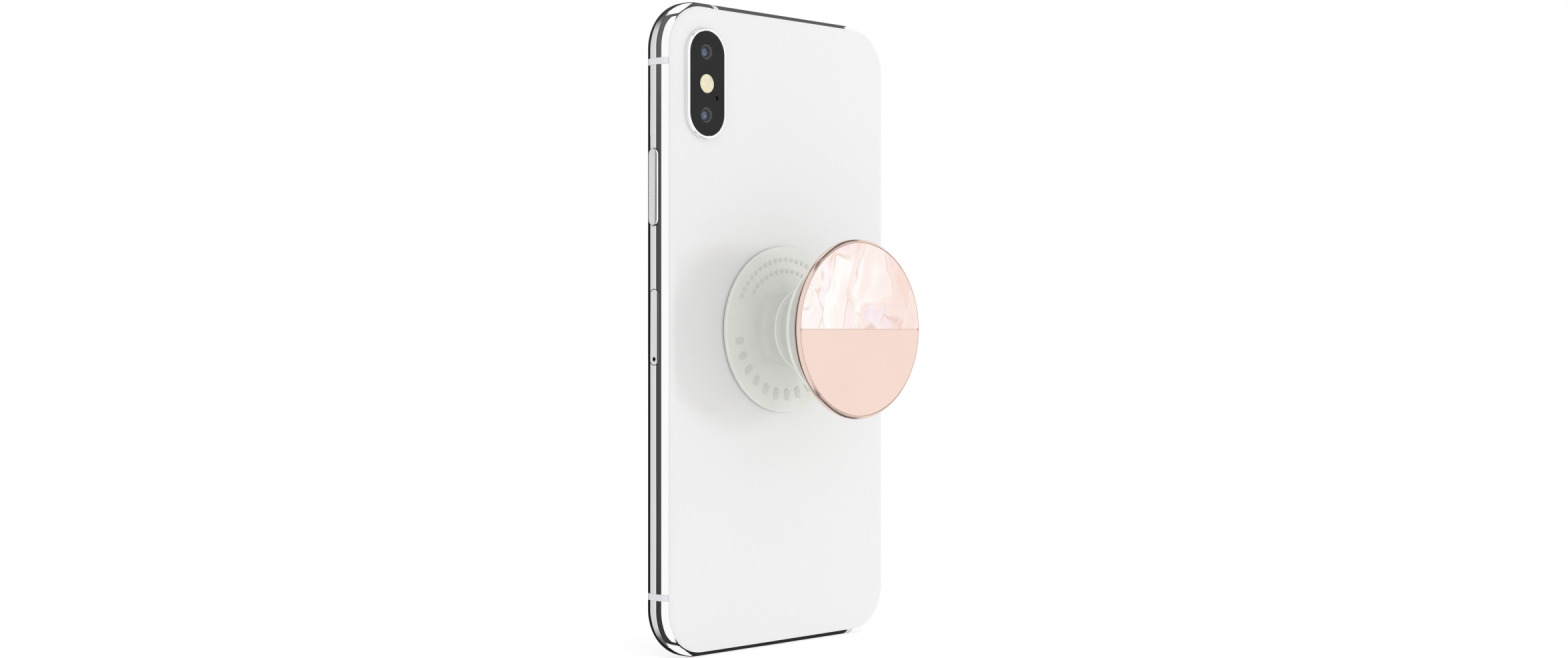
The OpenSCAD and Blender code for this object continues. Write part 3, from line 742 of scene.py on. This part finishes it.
# a copy of a carried-over part with its triangles merged and its edges broken
def softened(name, material, width, rideOn, cutters=()):
    mesh = nodes[name].data.copy()
    mesh.materials.clear()
    cleanMesh(mesh, 10 * build["weld"], flatten=0.5)
    smoothMesh(mesh, build["softAngle"])
    piece = newObject(name + ".soft", mesh)
    piece.data.materials.append(material)
    if cutters:
        carve(piece, cutters, build["softAngle"])
    edge = piece.modifiers.new("edge", "BEVEL")
    edge.width = width * mm
    edge.segments = 2
    edge.limit_method = "ANGLE"
    edge.angle_limit = math.radians(build["softAngle"])
    edge.harden_normals = True
    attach(piece, rideOn)
    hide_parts(name)


bump = {
    "centre": (24.05, 53.7), "wide": 11.5, "long": 24.3, "top": 8.65, "ringEdge": 0.34, "ringInner": 0.1,
    "lensX": 24.2, "lensZ": (60.6, 46.8), "mic": (21.25, 50.7), "micRadius": 0.5, "window": 1.72,
    "coverInset": 0.7, "coverLow": 7.9, "coverHigh": 8.55, "coverEdge": 0.08, "collarRadius": 1.7,
    "flashZ": 53.68, "flashRadius": 2.075, "flashTop": 8.5, "flashFoot": 7.05, "flashFlange": (2.4, 7.55),
    "flashRings": 9, "flashGap": 0.045,
}


def pillOutline(shrink=0.0):
    return pill(bump["wide"] / 2 - shrink, bump["long"] / 2 - shrink, 32, bump["centre"])


# ring section: a broad outer rounding and a tight inner one over the glass seat
def makeRing():
    top = bump["top"]
    edge = bump["ringEdge"]
    small = bump["ringInner"]
    outer = arcPoints(-edge, top - edge, edge, 0, 90, 12)
    inner = arcPoints(-0.55, top - small, small, 90, 180, 6)
    loop = np.concatenate([[(-0.15, 6.5), (-0.15, 7.71), (0, 7.715)], outer, inner,
                           [(-0.65, 7.85), (-0.95, 7.85), (-0.95, 6.5)]])
    ring = makePiece("cameraRing", [sweep(pillOutline(), loop)], ringSteel, looped=True)
    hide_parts("camera_ring")


# flat glass, drilled for the lenses, flash and microphone; each lens hole has a clear
# disc and a collar that slopes in to the lens
def makeCover():
    low = bump["coverLow"]
    high = bump["coverHigh"]
    small = bump["coverEdge"]
    edge = arcPoints(-small, high - small, small, 0, 90, 6)
    profile = np.concatenate([[(-4, low), (0, low)], edge, [(-0.6, high)]])
    outline = pillOutline(bump["coverInset"])
    cover = makePiece("cameraCover", [sweep(outline, profile)], coverGlass)
    lensPlaces = [(bump["lensX"], z) for z in bump["lensZ"]]
    holes = [(bump["window"], 64, place) for place in lensPlaces]
    holes.append((bump["flashRadius"] + bump["flashGap"], 64, (bump["centre"][0], bump["flashZ"])))
    holes.append((bump["micRadius"], 32, bump["mic"]))
    carve(cover, [bar(circleOutline(*hole), low - 1, high + 1) for hole in holes])
    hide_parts("camera_glass")

    r = bump["window"] - 0.02
    disc = [(0, high - 0.2), (r - 0.03, high - 0.2), (r, high - 0.17),
            (r, high - 0.03), (r - 0.03, high), (0, high)]
    shells = [turned(disc, place, 64) for place in lensPlaces]
    piece = makePiece("lensWindows", shells, clearGlass)
    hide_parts("camera_glass")
    wide = bump["collarRadius"]
    collar = [(wide, 8.32), (1.45, 8.24), (1.24, 8.1), (1.22, 7.95), (wide, 7.95)]
    shells = [turned(collar, place, 64) for place in lensPlaces]
    piece = makePiece("lensCollars", shells, collarGrey, looped=True)
    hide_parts("camera_glass")


lens = {"nose": 1.19, "element": 1.1, "top": 7.98, "ball": 1.9, "steps": 72}


# wide drum, then a short nose that ends in a thin ring round the front element
def barrelProfile():
    nose = lens["nose"]
    reach = lens["element"]
    return [(0, 6.1), (2.9, 6.1), (3.0, 6.2), (3.0, 7.32), (2.92, 7.4), (1.35, 7.4), (nose, 7.5),
            (nose, 7.86), (nose - 0.03, 7.9), (reach + 0.02, 7.9), (reach + 0.01, 7.6), (0, 7.6)]


# front element: cap of a sphere over a short cylinder
def elementProfile():
    ball = lens["ball"]
    reach = lens["element"]
    angle = (1 - np.linspace(0, 1, 14)) * math.asin(reach / ball)
    cap = np.stack([ball * np.sin(angle), lens["top"] - ball + ball * np.cos(angle)], axis=1)
    return np.concatenate([[(0, 7.55), (reach, 7.55)], cap])


def makeLenses():
    for label, z in zip(("upper_lens", "lower_lens"), bump["lensZ"]):
        name = label.replace("_lens", "")
        coating = makeCoatedGlass(name + "Coating", z)
        for part, profile, material, slot in (("Barrel", barrelProfile(), barrelBlack, "camera_module"),
                                              ("Element", elementProfile(), coating, "lens_blue")):
            rings = turned(profile, (bump["lensX"], z), lens["steps"])
            piece = makePiece(name + part, [rings], material, sharp=build["roundSharp"], rideOn=label)
            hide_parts(label)


# diffuser: its flat top carries shallow rings, a cosine of the distance from the middle
def makeFlash():
    r = bump["flashRadius"]
    top = bump["flashTop"]
    foot = bump["flashFoot"]
    flange, shelf = bump["flashFlange"]
    t = np.linspace(1, 0, 60)
    ripple = 0.014 * np.cos(t * 2 * math.pi * bump["flashRings"]) - 0.02 - 0.03 * t ** 4
    face = np.stack([t * (r - 0.08), top + ripple], axis=1)
    profile = np.concatenate([[(0, foot), (flange, foot), (flange, shelf), (r, shelf), (r, top - 0.1)], face])
    rings = turned(profile, (bump["centre"][0], bump["flashZ"]), 80)
    piece = makePiece("flashDiffuser", [rings], flashCream, sharp=build["roundSharp"])
    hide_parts("flash_lens")


# profiles are (radius, height over the back); a fold's numbers are (height, spread)
grip = {
    "back": 7.7, "steps": 160, "padRadius": 17.6, "padHigh": 0.35, "baseRadius": 18.75, "baseTop": 1.25,
    "rim": 19.7, "face": 24.4, "inlay": 18.89, "inlayThick": 0.28, "inlayFoot": 0.08, "inlayCorner": 0.6,
    "dish": [(17.55, 1.25), (17.1, 1.235), (14, 1.16), (12, 1.1), (9.5, 1.0), (0, 1.0)],
    "stem": [(10.8, 1.0), (9.9, 1.08), (9.0, 1.28), (8.35, 1.65), (7.9, 2.2), (7.65, 2.9), (7.5, 5.9),
             (7.9, 6.15), (8.8, 6.3), (9.2, 6.6), (9.35, 6.95), (9.3, 7.3), (9.05, 7.6), (8.7, 8.0),
             (8.85, 8.7), (13.7, 15.7), (14.5, 15.95), (15.2, 16.2), (15.48, 16.6), (15.5, 17.0),
             (15.3, 17.4), (14.9, 17.75), (14.85, 18.2), (16.2, 20.95), (16.6, 21.25)],
    "stemInside": [(13.0, 21.25), (15.25, 20.75), (14.05, 18.3), (14.1, 17.1), (13.1, 16.3), (8.05, 9.0),
                   (8.1, 7.2), (6.8, 6.5), (6.75, 2.6), (6.9, 1.0)],
    "carrier": [(0, 21.3), (16.9, 21.3), (17.2, 21.5), (17.2, 22.4), (17.1, 22.5), (4.1, 22.5), (4.0, 22.6),
                (4.0, 23.15), (3.95, 23.2), (0, 23.2)],
    "rimUnder": [(0, 23.35), (4.06, 23.35), (4.06, 22.6), (17.3, 22.6), (18.3, 22.7), (19.3, 22.93)],
    # the stem's own tone, then its painted foot shadow, the painted highlights on its folds' edges and the
    # painted shade in its hollows
    "stemTone": 0.635, "footTone": 0.125, "footFade": (8.4, 2.3), "footHigh": 2.0,
    "foldHighlights": ((7.0, 0.22), (17.0, 0.26)), "highlightTone": 0.2,
    "foldShades": ((8.3, 0.5), (10.5, 2.0), (18.2, 0.6)), "shadeTone": -0.035,
}

# rows of marks on the base: first angle, last angle, pitch, radius, length, width
marks = {
    "rows": [(-172, -8, 13.5, 14.9, 1.35, 2.6), (28, 153, 6.2, 15.9, 0.9, 1.0),
             (40, 141, 7.4, 13.3, 0.8, 0.9)],
    "low": 1.05, "high": 1.37,
}


def onGrip(profile):
    return np.asarray(profile, float) + [0, grip["back"]]


def gripLathe(name, profile, material, rideOn, node, looped=False):
    rings = turned(onGrip(profile), (0, 0), grip["steps"])
    piece = makePiece(name, [rings], material, looped, build["roundSharp"], rideOn)
    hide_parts(node)
    return piece


# a rounded bar bent round the grip's axis by x - z^2 / 2r, then turned to its angle
def baseMark(angle, radius, long, wide):
    points, normals = roundedOutline(wide / 2, long / 2, min(wide, long) / 2 - 0.02, 6)
    t = math.radians(angle)
    turn = np.array([[math.cos(t), -math.sin(t)], [math.sin(t), math.cos(t)]])
    bent = points + [radius, 0]
    bent[:, 0] -= bent[:, 1] ** 2 / (2 * radius)
    low = marks["low"]
    high = marks["high"]
    return sweep((bent @ turn.T, normals @ turn.T), onGrip([(0.03, low), (0, high - 0.03), (-0.03, high)]))


def makeBase():
    high = grip["padHigh"]
    wide = grip["padRadius"]
    pad = [(0, 0.0), (wide - 0.1, 0.0), (wide, 0.08), (wide, high), (0, high)]
    gripLathe("gripPad", pad, softAdhesive, "phone", "grip_adhesive")
    base = grip["baseRadius"]
    lower = arcPoints(base - 0.15, high + 0.15, 0.15, -90, 0, 6)
    upper = arcPoints(base - 0.35, grip["baseTop"] - 0.35, 0.35, 0, 90, 12)
    profile = np.concatenate([[(0, high)], lower, upper, grip["dish"]])
    gripLathe("gripBase", profile, gripPlastic, "phone", "grip_base")
    shells = [baseMark(angle, radius, long, wide)
              for first, last, pitch, radius, long, wide in marks["rows"]
              for angle in np.arange(first, last, pitch)]
    piece = makePiece("gripMarks", shells, paintedShadeMark)
    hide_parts("grip_base")


# the stem's lightness: its foot fades by radius from the base's tone down to the stem's own darker tone, a
# painted shadow of the stem round its foot; its folds' edges carry painted highlights and the hollows above
# them painted shade, each a bell over height
def stemTones(mesh):
    place = np.zeros(len(mesh.vertices) * 3)
    mesh.vertices.foreach_get("co", place)
    place = place.reshape(-1, 3) / mm
    radius = np.hypot(place[:, 0], place[:, 2])
    height = place[:, 1] - grip["back"]
    start, reach = grip["footFade"]
    foot = np.clip((radius - start) / reach, 0, 1) * (height < grip["footHigh"])
    tone = grip["stemTone"] + grip["footTone"] * foot
    for folds, step in (("foldHighlights", "highlightTone"), ("foldShades", "shadeTone")):
        for middle, spread in grip[folds]:
            tone += grip[step] * np.exp(-((height - middle) / spread) ** 2)
    setTones(mesh, tone)


# the stem runs from the base, 1 mm over the back, to the carrier, 21.25 over it
def makeStem():
    stem = np.concatenate([eased(grip["stem"], 0.28, 5), grip["stemInside"]])
    piece = gripLathe("gripStem", stem, gripSoft, "phone", "grip_accordion", looped=True)
    stemTones(piece.data)
    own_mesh(piece)
    gripLathe("gripCarrier", grip["carrier"], gripPlastic, "grip_carrier", "grip_carrier")


# the platter's metal rim rolls from a small foot to its widest line and over to a thin
# chamfered lip; the two inlays fill its face
def makePlatter():
    rim = grip["rim"]
    face = grip["face"]
    roll = arcPoints(rim - 0.75, face - 0.9, 0.75, 0, 42, 12)
    lip = eased([(19.5, face - 0.39), (19.12, face - 0.06), (19.03, face)], 0.06, 6)
    foot = arcPoints(rim - 0.3, 23.25, 0.3, -60, 0, 7)
    inside = [(18.98, face - 0.06), (18.98, face - 0.3), (0, face - 0.3)]
    profile = np.concatenate([grip["rimUnder"], foot, roll, lip, inside])
    gripLathe("gripRim", profile, roseMetal, "grip_top", "grip_top_shell")
    edge = arcPoints(-0.06, face - 0.06, 0.06, 0, 90, 5)
    profile = onGrip(np.concatenate([[(0, face - grip["inlayThick"])], edge, [(-0.3, face)]]))
    for name, upperHalf, material in (("pearlInlay", True, pearl), ("plainInlay", False, satinPeach)):
        rings = sweep(halfDisc(grip["inlay"], grip["inlayFoot"], grip["inlayCorner"], upperHalf), profile)
        piece = makePiece(name, [rings], material, rideOn="grip_top")
        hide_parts("grip_inlays")


def makeCoverGlass():
    material, tree, shader = newMaterial("coverGlass", (0.008, 0.008, 0.0085), 0.3, coat=1.0, coatRough=0.02)
    setSockets(shader, {"Coat IOR": 1.3, "Specular IOR Level": 0})
    haze = noiseOf(tree, millimetres(tree), 0.3, 4, 0.6)
    feed(tree, shader, rampOf(tree, haze, [(0.3, (0.0075, 0.0075, 0.008)), (0.7, (0.0105, 0.0105, 0.011))]),
         rangeOf(tree, haze, 0.16, 0.28))
    return material


def makeClearGlass():
    material, tree, shader = newMaterial("clearGlass", (0.9, 0.93, 0.95), 0.0)
    setSockets(shader, {"Transmission Weight": 1.0, "IOR": 1.26})
    feed(tree, shader, rough=rangeOf(tree, noiseOf(tree, millimetres(tree), 0.5), 0.0, 0.03))
    return material


# front element, painted by distance from its own axis: a dark pupil and dark edge are painted shade of the
# lens's dark inside, the blue ring between them a painted reflection of the coating
def makeCoatedGlass(name, z):
    material, tree, shader = newMaterial(name, (0.02, 0.05, 0.11), 0.08, coat=1.0, coatRough=0.02)
    setSockets(shader, {"Coat IOR": 1.35})
    sockets = {"Vector": objectPlace(tree), "Location": (-bump["lensX"], 0, -z), "Scale": (1000, 0, 1000)}
    centred = addNode(tree, "Mapping", sockets).outputs["Vector"]
    far = addNode(tree, "VectorMath", {0: centred}, operation="LENGTH").outputs["Value"]
    # painted shade at the middle and the edge, a painted coating reflection in the brighter blue ring
    stops = [(0.0, (0.004, 0.006, 0.012)), (0.26, (0.006, 0.01, 0.02)), (0.36, (0.04, 0.1, 0.19)),
             (0.58, (0.075, 0.17, 0.29)), (0.76, (0.022, 0.055, 0.11)), (0.95, (0.006, 0.01, 0.018))]
    haze = noiseOf(tree, millimetres(tree), 0.8)
    feed(tree, shader, rampOf(tree, rangeOf(tree, far, 0, 1, 0, lens["element"]), stops),
         rangeOf(tree, haze, 0.05, 0.12))
    return material


# cream diffuser with small pink and grey cells
def makeFlashCream():
    material, tree, shader = newMaterial("flashCream", (0.9, 0.86, 0.5), 0.3, coat=0.8)
    cells = addNode(tree, "TexVoronoi", {"Vector": millimetres(tree), "Scale": 2.4})
    split = addNode(tree, "SeparateColor", {0: cells.outputs["Color"]})
    stops = [(0.0, (0.79, 0.78, 0.56)), (0.45, (0.77, 0.74, 0.44)),
             (0.75, (0.76, 0.63, 0.5)), (1.0, (0.58, 0.58, 0.52))]
    feed(tree, shader, rampOf(tree, split.outputs[0], stops))
    bumpOf(tree, shader, cells.outputs["Distance"], 0.03, 0.4)
    return material


# the stem's soft plastic takes its lightness from the tone attribute, which holds its painted highlights,
# painted shade and painted foot shadow
def makeStemPlastic():
    material, tree, shader = newMaterial("gripSoft", (0.63, 0.642, 0.603), 0.34, coat=0.35, coatRough=0.25)
    where = millimetres(tree)
    cloud = rangeOf(tree, noiseOf(tree, where, 0.3, 4), -0.012, 0.012)
    total = mathOf(tree, "ADD", toneAttribute(tree), cloud)
    fine = noiseOf(tree, where, 7, 3, 0.6)
    feed(tree, shader, rampOf(tree, total, [(0.5, (0.5, 0.51, 0.478)), (0.9, (0.9, 0.915, 0.865))]),
         rangeOf(tree, fine, 0.3, 0.39))
    bumpOf(tree, shader, fine, 0.012, 0.5)
    return material


# scales count per millimetre; colours of the sheets and tints go with ramp places
shell = {
    "drift": 0.07, "reach": (15, 15, 15), "slant": 36, "stretch": (1.15, 1.0, 0.46), "cell": 0.125,
    "sheets": [(0.12, (0.87, 0.86, 0.85)), (0.27, (0.815, 0.63, 0.62)), (0.4, (0.84, 0.77, 0.66)),
               (0.52, (0.81, 0.56, 0.475)), (0.72, (0.81, 0.53, 0.45)), (0.88, (0.77, 0.67, 0.81))],
    "tints": [(0.36, (0.81, 0.56, 0.48)), (0.46, (0.82, 0.64, 0.56)), (0.53, (0.86, 0.85, 0.84)),
              (0.62, (0.82, 0.68, 0.64)), (0.72, (0.79, 0.73, 0.8))],
    "tinted": 0.4, "glow": (0.87, 0.855, 0.84, 1), "warm": (0.8, 0.58, 0.5, 1),
    "pale": (0.87, 0.865, 0.86, 1), "crease": (0.7, 0.47, 0.39, 1),
}


# acrylic pearl: drifting sheets of white, blush, peach, lilac and cream laid over each
# other at a slant, with thin darker creases where their edges fold under
def makePearl():
    material, tree, shader = newMaterial("pearl", (0.8, 0.72, 0.68), 0.3, coat=1.0, coatRough=0.03)
    where = millimetres(tree)
    sockets = {"Vector": where, "Scale": shell["drift"], "Detail": 1.5}
    drift = addNode(tree, "TexNoise", sockets).outputs["Color"]
    sockets = {0: drift, 1: shell["reach"], 2: where}
    warp = addNode(tree, "VectorMath", sockets, operation="MULTIPLY_ADD").outputs[0]
    sockets = {"Vector": warp, "Rotation": (0, math.radians(shell["slant"]), 0), "Scale": shell["stretch"]}
    bent = addNode(tree, "Mapping", sockets).outputs["Vector"]
    sockets = {"Vector": bent, "Scale": shell["cell"]}
    veins = addNode(tree, "TexVoronoi", sockets, feature="DISTANCE_TO_EDGE").outputs["Distance"]
    sockets["Smoothness"] = 0.14
    cells = addNode(tree, "TexVoronoi", sockets, feature="SMOOTH_F1").outputs["Color"]
    sheet = rampOf(tree, addNode(tree, "SeparateColor", {0: cells}).outputs[0], shell["sheets"])
    folds = noiseOf(tree, bent, 0.13, 2.5, 0.5, 0.6)
    tone = mixOf(tree, shell["tinted"], sheet, rampOf(tree, folds, shell["tints"]))
    tone = mixOf(tree, rangeOf(tree, veins, 0.0, 0.3, 0.13, 0.05), tone, shell["glow"])
    # the sheets on one side are whiter, on the other more peach
    x = addNode(tree, "SeparateXYZ", {0: where}).outputs["X"]
    tone = mixOf(tree, rangeOf(tree, x, 0.55, 0.0, -14.0, 2.0), tone, shell["warm"])
    tone = mixOf(tree, rangeOf(tree, x, 0.0, 0.55, 3.0, 15.0), tone, shell["pale"])
    thin = rangeOf(tree, veins, 0.8, 0.0, 0.0, 0.035)
    patchy = rangeOf(tree, noiseOf(tree, where, 0.22, 1), 0, 1, 0.44, 0.58)
    tone = mixOf(tree, mathOf(tree, "MULTIPLY", thin, patchy), tone, shell["crease"])
    feed(tree, shader, tone, rangeOf(tree, folds, 0.2, 0.45))
    bumpOf(tree, shader, folds, 0.05, 0.3)
    return material


print("finishes of new pieces")
keySteel = metal("keySteel", (0.96, 0.96, 0.965), 0.09, (0.4, 0.4, 3.0), 0.0012)
coverGlass = makeCoverGlass()
clearGlass = makeClearGlass()
collarGrey = grained("collarGrey", (0.03, 0.03, 0.032), 0.35, 0.1, 2, 12, 0.003)
barrelBlack = grained("barrelBlack", (0.03, 0.031, 0.034), 0.4, 0.15, 2, 14, 0.006)
flashCream = makeFlashCream()
gripPlastic = grained("gripPlastic", (0.76, 0.77, 0.726), 0.42, 0.02, 0.15, 4, 0.012)
# the marks' plastic is darker than the base's: painted shade standing in for the shading of the raised marks
paintedShadeMark = grained("paintedShadeMark", (0.65, 0.66, 0.62), 0.42, 0.02, 0.15, 4, 0.012)
gripSoft = makeStemPlastic()
roseMetal = metal("roseMetal", (0.84, 0.66, 0.58), 0.2, (0.5, 4.0, 0.5), 0.0015)
satinPeach = grained("satinPeach", (0.785, 0.595, 0.52), 0.36, 0.012, 0.1, 16, 0.004, coat=0.25)
pearl = makePearl()

print("keys")
makeKeys()
softened("card_tray", polishedSteel, 0.06, "card_tray", [outsideBand(-12, 12)])
softened("bottom_screws", keySteel, 0.05, "phone")
softened("charge_socket", stampedSteel, 0.06, "phone")
softened("bottom_meshes", sealBlack, 0.03, "phone")

print("camera")
makeRing()
makeCover()
makeLenses()
makeFlash()

print("grip")
makeBase()
makeStem()
makePlatter()


# carried-over nodes keep their shape and take a finish
finishes = [
    (stampedSteel, ["display_frame", "back_plate", "camera_bracket", "card_reader", "eject_lever",
                    "board_shield", "board_screws", "coil_shield", "haptic_case", "haptic_cover",
                    "haptic_springs"]),
    (goldPlate, ["bottom_mic", "charge_contacts"]),
    (copperWire, ["charging_coil"]),
    (sealBlack, ["front_seal", "back_seal", "tray_seal", "earpiece_mesh"]),
    (mouldedBlack, ["rear_mic", "display_panel", "upper_camera_housing", "lower_camera_housing",
                    "silent_switch_base", "loudspeaker", "earpiece", "front_camera", "front_sensors"]),
    (flexAmber, ["display_flex", "side_button_switch", "volume_switches"]),
    (boardGreen, ["flash_board", "logic_board"]),
    (cellWrap, ["battery_main", "battery_lower"]),
    (cardWhite, ["nano_card"]),
    (softAdhesive, ["battery_adhesive"]),
    (heavyAlloy, ["haptic_mass"]),
]


def dress(name, material):
    held = nodes[name].data.materials
    if len(held) == 0:
        held.append(material)
    for k in range(len(held)):
        held[k] = material


print("carried-over parts")
for finish, names in finishes:
    for name in names:
        dress(name, finish)
